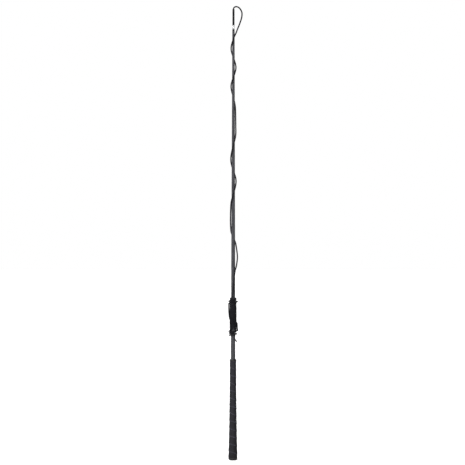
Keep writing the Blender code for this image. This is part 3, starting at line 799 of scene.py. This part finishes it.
class MakeGrip(bpy.types.Operator):
    """Makes the wound tape, the butt cap and the collar of the handle"""

    bl_idname = "whip.make_grip"
    bl_label = "Handle"

    def execute(self, context):
        settings = context.scene.whip_grip
        self.tape(settings)
        self.cap(settings)
        self.collar(settings)
        return {"FINISHED"}

    def tape(self, settings):
        """The tape: a tapered tube whose radius rises along each turn from its upper side to its lower edge,
        which stands over the turn below. The edge runs in a spiral and wanders a little; the tape is stretched
        here and slack there, so its width and thickness vary slowly. Its middle is the frame's own tape with
        the laps smoothed out, by the mean of a sliding window one turn high."""
        heights, inner, outer = rings_of("grip_tape")
        foot, top = heights[0], heights[-1]
        z = np.linspace(foot, top, settings.rows)[:, None]
        u = once_round(settings.columns)
        angle = TURN * u
        rise = (z - foot) / settings.pitch
        wander = sum(size * np.sin(waves * angle + drift * rise + start) for size, waves, drift, start in WANDER)
        turn = np.mod(rise + u + wander + TAPE_START, 1)
        step = np.clip(turn / TAPE_EDGE, 0, 1)
        lap = (step * step * (3 - 2 * step)) * (1 - turn) ** LAP_FALL
        slack = TAPE_SLACK * np.sin(3 * angle + 4.3 * rise) * np.sin(2.3 * rise + 1)
        near = np.abs(heights[:, None] - heights[None, :]) < settings.pitch * LEVEL_WINDOW
        level = (near * outer[None, :]).sum(1) / near.sum(1)
        middle = np.interp(z, heights, level) - settings.lap / 3
        radius = middle + (settings.lap * lap + slack) * from_ends(z, foot, top, 0.002)
        # wear marks each turn's paler edge band, which is wear and a painted highlight
        wear = np.where(turn > WEAR_AND_HIGHLIGHT_START, bell(turn, WEAR_AND_HIGHLIGHT_START, WEAR_AND_HIGHLIGHT_WIDTH), turn / WEAR_AND_HIGHLIGHT_START)
        # furrow marks the painted shadow in the furrow under each edge
        furrow = np.where(turn > 0.5, bell(turn, 1, FURROW_SHADOW_WIDTH), 0)
        piece = tube("grip_wrap", radius, z, np.stack([inner, heights], 1)[::-1],
                     tape_finish("grip_wrap", settings.colour), wear=wear, furrow=furrow)
        belongs(piece, "stick", "grip_tape", "grip_tape")

    def cap(self, settings):
        """The butt cap: a flat, a shallow dome that is a quarter of an ellipse in section, a straight side
        and a bead under the tape, with a plug that fills the former's bore."""
        low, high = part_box("butt_cap")
        outer = rings_of("butt_cap")[2]
        side, plug = outer.max(), outer[-1]
        tape_foot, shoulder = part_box("grip_tape")[0].z - GAP, low.z + settings.dome
        turn = np.linspace(0, math.pi / 2, DOME_ROWS)
        dome = zip(settings.flat + (side - settings.flat) * np.sin(turn), shoulder - settings.dome * np.cos(turn))
        profile = [
            (PINHOLE, low.z), (settings.flat * 0.6, low.z), *dome, (side + 0.0002, shoulder + 0.0012),
            (side + 0.0001, tape_foot - 0.0014), (side + 0.0004, tape_foot - 0.0008), (side - 0.0002, tape_foot),
            (plug, tape_foot), (plug, high.z), (PINHOLE, high.z)]

        def wear(r, z):
            rims = bell(z, tape_foot - 0.0008, 0.0006) + 0.8 * bell(z, shoulder, 0.0008)
            return np.where(r > 0.95 * side, np.clip(rims, 0, 1), 0)

        piece = turned("butt_cap_rubber", profile, rubber_finish("cap_rubber", settings.rubber), 96, wear=wear)
        belongs(piece, "stick", "cap_rubber", "butt_cap")

    def collar(self, settings):
        """The collar: a thick lip, rounded over at its top and tucked against the shaft."""
        heights, inner, outer = rings_of("grip_collar")
        foot, top, bore = heights[0] - GAP, heights[-1], inner.min()
        wide = outer.max() + settings.flare
        profile = [
            (wide - 0.0003, foot), (wide, foot + (top - foot) * 0.45), (wide - 0.0001, top - 0.0018),
            (wide - 0.0007, top - 0.0006), (wide - 0.0016, top), (bore, top), (bore, foot)]

        def wear(r, z):
            return np.where(r > wide - 0.001, bell(z, top - 0.0015, 0.0009), 0)

        piece = turned("grip_collar_lip", profile, rubber_finish("collar_rubber", settings.rubber), edge=0.0006,
                       wear=wear)
        belongs(piece, "stick", "collar_rubber", "grip_collar")


# The swivel


class MakeSwivel(bpy.types.Operator):
    """Makes the swivel's two halves and the sleeve that binds the lash to it"""

    bl_idname = "whip.make_swivel"
    bl_label = "Swivel"

    def execute(self, context):
        settings = context.scene.whip_swivel
        metal = metal_finish("nickel", settings.metal, 0.14)
        self.barrel(settings, metal)
        self.cup(settings, metal)
        self.sleeve(settings)
        return {"FINISHED"}

    def barrel(self, settings, metal):
        """The barrel: a skirt inside the braid's tip, a straight side with a rolled bead near its mouth, and a
        lip that closes in on the pin."""
        heights, inner, outer = rings_of("swivel_barrel")
        low, high, seat = heights[0], heights[-1], SHAFT_TOP + GAP
        wide, skirt, bore, hole = outer.max(), outer[0], inner[0], inner[-1]
        waist, bead, lip = wide - settings.bead, high - 0.0016, high - 0.0020
        profile = [
            (skirt, low), (skirt, seat), (wide - 0.0003, seat), (waist, seat + 0.0008), (waist, bead - 0.0008),
            (wide, bead), (wide - 0.0002, high - 0.0003), (wide - 0.0008, high), (hole, high), (hole, lip),
            (bore, lip), (bore, low)]
        piece = turned("swivel_barrel_shell", profile, metal, edge=settings.edge)
        belongs(piece, "stick", "nickel", "swivel_barrel")

    def cup(self, settings, metal):
        """The cup: a floor round the pin, a bead near it, a straight side and a mouth rolled on to the sleeve."""
        heights, inner, outer = rings_of("swivel_cup")
        low, high, wide, hole, bore = heights[0], heights[-1], outer.max(), inner[0], inner[-1]
        waist, bead = wide - settings.bead, low + 0.0016
        profile = [
            (hole, low), (wide - 0.0008, low), (wide - 0.0002, low + 0.0003), (wide, bead), (waist, bead + 0.0008),
            (waist, high - 0.0014), (wide - 0.0001, high - 0.0007), (wide - 0.0003, high), (bore, high),
            (bore, bead), (hole, bead)]
        piece = turned("swivel_cup_shell", profile, metal, edge=settings.edge)
        belongs(piece, "swivel_head", "nickel", "swivel_cup")

    def sleeve(self, settings, strands=10, rows=420, columns=60):
        """The keeper: a woven sleeve drawn tight over the doubled cord, with a fine braid's relief, rolled in
        at its mouth and gathered a little where it meets the cup."""
        heights, inner, outer = rings_of("lash_keeper")
        foot, top = heights[0], heights[-1]
        wide, bore = outer.max() + settings.sleeve_build, inner.min()
        z = np.linspace(foot, top, rows)[:, None]
        u = once_round(columns)
        turns = (z - foot) / (TURN * wide)
        relief = weave(u, turns, strands, 1)
        mouth = SLEEVE["roll"] * np.clip(1 - (top - z) / SLEEVE["mouth"], 0, 1) ** 2
        gathered = SLEEVE["gather"] * bell(z, foot + 0.002, SLEEVE["mouth"] / 2)
        doubled = SLEEVE["oval"] * np.cos(2 * TURN * u) * np.clip((z - foot) / 0.004, 0, 1)
        radius = wide - 0.0001 - mouth - gathered + doubled - SLEEVE["furrow"] * (1 - relief)
        finish = braid_finish("keeper_sleeve", settings.sleeve, 0.5, strands, 4, 0.00008)
        piece = tube("keeper_sleeve", radius, z, [(bore, top), (bore, foot)], finish, turns[:, 0], relief=relief)
        belongs(piece, "swivel_head", "keeper_sleeve", "lash_keeper")


# The lash


def fold(start, end, level, corner, side, radius):
    """Angles and heights of one fold of the hank: a quarter circle out of the run at one angle, level behind
    the shaft, and a quarter circle into the run at the other. side is 1 at the hank's foot and -1 at its top."""
    turn = np.linspace(0, math.pi / 2, CORNER_POINTS)
    way = math.copysign(corner / radius, end - start)
    out, back = start + way * (1 - np.cos(turn)), end - way * (1 - np.cos(turn[::-1]))
    rise = side * corner * (1 - np.sin(turn))
    behind = np.linspace(out[-1], back[0], CORNER_POINTS + 2)[1:-1]
    return np.concatenate([out, behind, back]), level + np.concatenate([rise, 0 * behind, rise[::-1]])


def hank_points(settings):
    """The hank: the lash comes down at the front and goes to and fro in folds that pass behind the shaft, each
    inside the last, and its last run rises on the right into the wraps."""
    lay = GAP + settings.diameter / 2
    radius = shaft_radius((HANK_FOOT + HANK_TOP) / 2) + lay
    width = radius * settings.run_angle
    folds = []
    for k in range(settings.runs):
        left = settings.first_left - k * settings.run_angle
        right = settings.first_right + k * settings.run_angle - TURN
        inner = settings.runs - 1 - k
        corner = settings.corner + inner * width / 2
        folds.append(fold(left, right, HANK_FOOT + FOOT_FOLD + k * width, corner, 1, radius))
        if inner:
            level = HANK_TOP - TOP_FOLD - k * width
            folds.append(fold(right, left - settings.run_angle, level, settings.corner, -1, radius))
    wrap, stand_off, rise = np.array(WRAPS, float).T
    wrap, rise = np.radians(wrap), HANK_FOOT + MM * rise
    turn = np.linspace(0, math.pi / 2, CORNER_POINTS)
    out = right + settings.corner / radius * (1 - np.cos(turn))
    up = rise[0] - settings.corner * (1 - np.sin(turn))
    angles, heights = zip(*folds)
    angle = np.concatenate([*angles, out, wrap[1:]])
    z = np.concatenate([*heights, up, rise[1:]])
    stand = np.concatenate([np.zeros(len(angle) - len(wrap) + 1), MM * stand_off[1:]])
    return around(angle, shaft_radius(z) + lay + stand, z)


def settled(line, diameter, fixed=20, rounds=90):
    """Moves stretches of a cord apart that lie in each other or in the shaft. Each round pushes every such pair
    of points half their overlap apart, lifts points off the shaft, and evens the moves out along the cord. The
    first points stay, and as many after them come free little by little."""
    step = np.linalg.norm(line[1] - line[0])
    index = np.arange(len(line))
    apart = index[None, :] - index[:, None] > BESIDE * diameter / step
    hold = np.clip((index - fixed) / fixed, 0, 1)[:, None]
    moved = line.copy()
    for _ in range(rounds):
        square = (moved ** 2).sum(1)
        near = square[:, None] + square[None, :] - 2 * moved @ moved.T < diameter ** 2
        first, second = np.nonzero(near & apart)
        between = moved[first] - moved[second]
        distance = np.maximum(np.linalg.norm(between, axis=1), 1e-6)
        push = between * ((diameter / distance - 1) / 2)[:, None]
        total, count = np.zeros_like(moved), np.ones(len(moved))
        for points, way in ((first, 1), (second, -1)):
            np.add.at(total, points, way * push)
            np.add.at(count, points, 0.5)
        moved = moved + total / np.sqrt(count)[:, None]
        radius = np.hypot(moved[:, 0], moved[:, 1])
        least = shaft_radius(moved[:, 2]) + diameter / 2
        moved[:, :2] *= np.maximum(1, least / radius)[:, None]
        shift = (moved - line) * hold
        shift[1:-1] += (shift[:-2] + shift[2:] - 2 * shift[1:-1]) / 4
        moved = line + shift
    return moved


def lash_line(settings):
    """The whole lash: its start inside the keeper, the loop, the winding, and the hank with its wraps."""
    mouth = np.array([0, 0, MOUTH])
    share, angle, stand_off = zip(*WINDING[::-1])
    at = np.linspace(share[-1], share[0], WINDING_POINTS)
    z = HANK_TOP + GAP + at * (SHAFT_TOP - HANK_TOP - GAP)
    radius = shaft_radius(z) + MM * ease(share, stand_off, at) + settings.diameter / 2
    winding = around(np.radians(ease(share, angle, at)), radius, z)
    route = np.concatenate([[mouth - (0, 0, LASH_TUCK)], mouth + np.array(LOOP), winding, hank_points(settings)])
    line = smooth_line(route, ROUTE_STEP)
    below = int(np.argmax((line[:, 2] < HANK_TOP + SETTLED_ABOVE) & (line[:, 2] < SHAFT_TOP)))
    tail = settled(line[below:], settings.diameter * PRESSED)
    return smooth_line(np.concatenate([line[:below], tail]), settings.step)


class MakeLash(bpy.types.Operator):
    """Makes the lash, the knot at its end and the popper"""

    bl_idname = "whip.make_lash"
    bl_label = "Lash"

    def execute(self, context):
        settings = context.scene.whip_lash
        line = lash_line(settings)
        finish = braid_finish("lash_cord", settings.cord_colour, 0.5, settings.strands, 6, 0.00012)
        lash = cord_skin("lash_braid", line, (settings.diameter + settings.swell) / 2, finish, settings.sides,
                         math.pi * settings.diameter, settings.depth, settings.strands)
        belongs(lash, "stick", "lash_cord", "lash_run", "lash_hank", "lash_top_wrap", "lash_low_wraps")
        knot = self.knot(settings)
        popper = self.popper(settings)
        return {"FINISHED"}

    def knot(self, settings, rings=180, sides=14, strands=3):
        """The knot: a trefoil, whose two turns of a large circle carry three of a small one, drawn up tight and
        set flat against the shaft."""
        low, high = (np.array(corner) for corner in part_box("lash_knot"))
        centre = (low + high) / 2
        outward = unit(centre * (1, 1, 0))
        aside = np.cross((0, 0, 1), outward)
        t = TURN * once_round(rings)[0]
        wide = (settings.knot_size - settings.knot) / 2 / 3
        flat = np.stack([np.sin(t) + 2 * np.sin(2 * t), np.cos(t) - 2 * np.cos(2 * t), -1.5 * np.sin(3 * t)], 1)
        line = centre + wide * (flat[:, :1] * aside + flat[:, 1:2] * (0, 0, 1) + flat[:, 2:] * outward)
        u, v = once_round(sides), np.linspace(0, 16, rings + 1)
        relief = weave(u, v[:-1, None], strands, 1)
        grid = rings_across(line, settings.knot / 2 - 0.00012 * (1 - relief), u, closed=True)
        finish = braid_finish("knot_cord", settings.cord_colour, 0.5, strands, 5, 0.00008)
        knot = skin("lash_end_knot", grid, finish, v, ring=True, relief=relief)
        return belongs(knot, "stick", "lash_cord", "lash_knot")

    def popper(self, settings):
        """The popper: three plies twisted together down the shaft's side and out, which thins and opens into
        loose yarns at its end."""
        fall, angle, stand_off = np.array(POPPER, float).T
        z = KNOT_FOOT - GAP - fall
        line = around(np.radians(angle), shaft_radius(z) + MM * stand_off + settings.popper / 2, z)
        line = smooth_line(np.concatenate([[line[0] + (0, 0, 0.003)], line]), 0.00035)
        share = np.linspace(0, 1, len(line))
        thick = settings.popper / 2 * (1 - 0.30 * np.clip((share - 0.75) / 0.25, 0, 1) ** 2)
        finish = ply_finish("popper_cord", settings.popper_colour, 60)
        popper = cord_skin("popper_tail", line, thick, finish, 30, 0.0100, 0.0007, plies=3)
        belongs(popper, "stick", "popper_cord", "lash_popper")
        yarns = self.yarns(line, thick[-1], finish)
        belongs(yarns, "stick", "popper_cord")
        yarns.parent = popper
        return popper

    def yarns(self, line, radius, finish, yarns=26, rings=9, sides=5, reach=0.0042):
        """The frayed end: thin yarns that leave the end of the popper in a sunflower's pattern, spread outwards
        with the square of the way along and end in points."""
        ahead = unit(line[-1] - line[-8])
        side = unit(np.cross(ahead, (0, 0, 1)))
        up = np.cross(side, ahead)
        k = np.arange(yarns)[:, None]
        t = np.linspace(0, 1, rings)[None, :]
        turn = k * GOLDEN_ANGLE
        out = radius * 0.85 * np.sqrt((k + 0.5) / yarns)
        spread = out * (1 + (0.5 + 0.5 * np.sin(5.3 * k)) * t ** 2)
        along = (0.72 + 0.28 * np.sin(3.7 * k)) * reach * t - 0.0012 * (1 - t)
        sway = 0.0004 * t ** 2 * np.sin(2.1 * k + 1)
        droop = 0.0008 * t ** 2
        middle = line[-1] + along[..., None] * ahead + (spread * np.cos(turn) + sway)[..., None] * side
        middle = middle + (spread * np.sin(turn) - droop)[..., None] * up
        thick = 0.00019 * (1 - 0.75 * t) + 0 * k
        angle = TURN * once_round(sides).T
        grid = middle[:, :, None, :] + thick[:, :, None, None] * (np.cos(angle) * side + np.sin(angle) * up)
        index = np.arange(yarns * rings * sides).reshape(yarns, rings, sides)
        beside = np.roll(index, -1, axis=2)
        walls = np.stack([index[:, :-1], index[:, 1:], beside[:, 1:], beside[:, :-1]], -1).reshape(-1, 4)
        ends = np.concatenate([index[:, 0], index[:, -1, ::-1]])
        return surface("popper_fray", grid.reshape(-1, 3), walls.tolist() + ends.tolist(), finish)


# Pieces inside


class FinishInside(bpy.types.Operator):
    """Gives the pieces inside the whip their materials"""

    bl_idname = "whip.finish_inside"
    bl_label = "Inner pieces"

    def execute(self, context):
        finishes = {
            "core_rod": streak_finish(
                "fibreglass", (0.62, 0.58, 0.42), 0.4, (1600, 1600, 12), 0.12, 0.00002, Coat_Weight=0.3),
            "core_filler": streak_finish("filler_yarn", (0.40, 0.39, 0.36), 0.85, (700, 700, 60), 0.25, 0.0001),
            "handle_former": streak_finish("former_foam", (0.20, 0.20, 0.20), 0.8, (900, 900, 900), 0.2, 0.0001),
            "swivel_pin": metal_finish("pin_steel", (0.55, 0.55, 0.57), 0.24),
            "swivel_washer": streak_finish("washer_nylon", (0.75, 0.74, 0.70), 0.4, (300, 300, 300), 0.05, 0.00001),
            "lash_bound_end": streak_finish("bound_cord", (0.015, 0.015, 0.016), 0.6, (900, 900, 300), 0.4, 0.0001),
        }
        for node, finish in finishes.items():
            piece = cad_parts[node]
            piece.data.materials.clear()
            piece.data.materials.append(finish)
        return {"FINISHED"}


# The stage


class MakeStage(bpy.types.Operator):
    """Makes the floor, the lights and the camera"""

    bl_idname = "whip.make_stage"
    bl_label = "Stage"

    def execute(self, context):
        settings = context.scene.whip_stage
        self.floor(settings)
        self.lights(settings)
        self.world(settings)
        self.camera(settings)
        context.scene.view_settings.view_transform = "Standard"
        return {"FINISHED"}

    def floor(self, settings, half=30.0):
        """A plain pale floor under the butt."""
        pale = Finish("floor", settings.floor_colour, 0.9, Specular_IOR_Level=0.1)
        seen = pale.node("ShaderNodeLightPath").outputs["Is Camera Ray"]
        pale.put("Emission Color", WHITE)
        pale.put("Emission Strength", pale.times(seen, settings.glow))
        corners = np.array([(-half, -half, 0), (half, -half, 0), (half, half, 0), (-half, half, 0)])
        surface("floor", corners + (0, 0, CAD_BOX[0][2]), [(0, 1, 2, 3)], pale.material)

    def light(self, name, kind, energy, place, **settings):
        """A light at a place that shines at the whip's middle."""
        data = bpy.data.lights.new(name, kind)
        data.energy = energy
        for setting, value in settings.items():
            setattr(data, setting, value)
        lamp = placed(name, data)
        lamp.location = place
        x, y, z = np.array(place, float) - (0, 0, MIDDLE)
        lamp.rotation_euler = (math.atan2(math.hypot(x, y), z), 0, math.atan2(x, -y))

    def lights(self, settings):
        """A broad light from high on the left, a weaker one from behind, and a tall soft strip that draws a line
        down the shaft."""
        self.light("broad", "SUN", settings.sun, (-2.6, -3.0, 3.6), angle=math.radians(25))
        self.light("back", "SUN", settings.back, (0.6, 4.0, 2.8), angle=math.radians(30))
        self.light("strip", "AREA", settings.strip, (0.75, -3.2, 0.9), shape="RECTANGLE", size=0.7, size_y=2.6)

    def world(self, settings):
        """White to the camera and dim to everything else, so that the whip's edges stay dark."""
        world = bpy.data.worlds.new("studio")
        bpy.context.scene.world = world
        world.use_nodes = True
        nodes, links = world.node_tree.nodes, world.node_tree.links
        dim, bright = nodes["Background"], nodes.new("ShaderNodeBackground")
        dim.inputs["Strength"].default_value = settings.ambient
        for light in (dim, bright):
            light.inputs["Color"].default_value = WHITE
        mix = nodes.new("ShaderNodeMixShader")
        seen = nodes.new("ShaderNodeLightPath").outputs["Is Camera Ray"]
        for socket, output in enumerate((seen, dim.outputs[0], bright.outputs[0])):
            links.new(output, mix.inputs[socket])
        links.new(mix.outputs[0], nodes["World Output"].inputs[0])

    def camera(self, settings):
        """A level camera in front of the whip's middle."""
        data = bpy.data.cameras.new("camera")
        data.sensor_width = 36.0
        data.lens = settings.distance * data.sensor_width / settings.view
        data.clip_end = 100.0
        camera = placed("camera", data)
        camera.location = (-settings.aside, -settings.distance, MIDDLE + settings.above)
        camera.rotation_euler = (math.pi / 2, settings.roll, 0)
        bpy.context.scene.camera = camera


class VIEW3D_PT_whip(bpy.types.Panel):
    """The whip's operators and settings."""

    bl_label = "Lunge Whip"
    bl_category = "Whip"
    bl_space_type = "VIEW_3D"
    bl_region_type = "UI"

    def draw(self, context):
        for operator, group in STEPS:
            box = self.layout.box()
            box.operator(operator.bl_idname)
            if group:
                settings = getattr(context.scene, group)
                for name in settings.__annotations__:
                    box.prop(settings, name)


STEPS = (
    (MakeStage, "whip_stage"),
    (MakeLash, "whip_lash"),
    (MakeShaft, "whip_shaft"),
    (MakeGrip, "whip_grip"),
    (MakeSwivel, "whip_swivel"),
    (FinishInside, None),
)
CLASSES = (*GROUPS.values(), *(operator for operator, _ in STEPS), VIEW3D_PT_whip)


def register():
    for item in CLASSES:
        bpy.utils.register_class(item)
    for name, group in GROUPS.items():
        setattr(bpy.types.Scene, name, bpy.props.PointerProperty(type=group))


def unregister():
    for name in GROUPS:
        delattr(bpy.types.Scene, name)
    for item in reversed(CLASSES):
        bpy.utils.unregister_class(item)


def main():
    """Makes every piece and the stage."""
    register()
    bpy.ops.whip.make_stage()
    bpy.ops.whip.make_lash()
    bpy.ops.whip.make_shaft()
    bpy.ops.whip.make_grip()
    bpy.ops.whip.make_swivel()
    bpy.ops.whip.finish_inside()


if __name__ == "__main__":
    main()
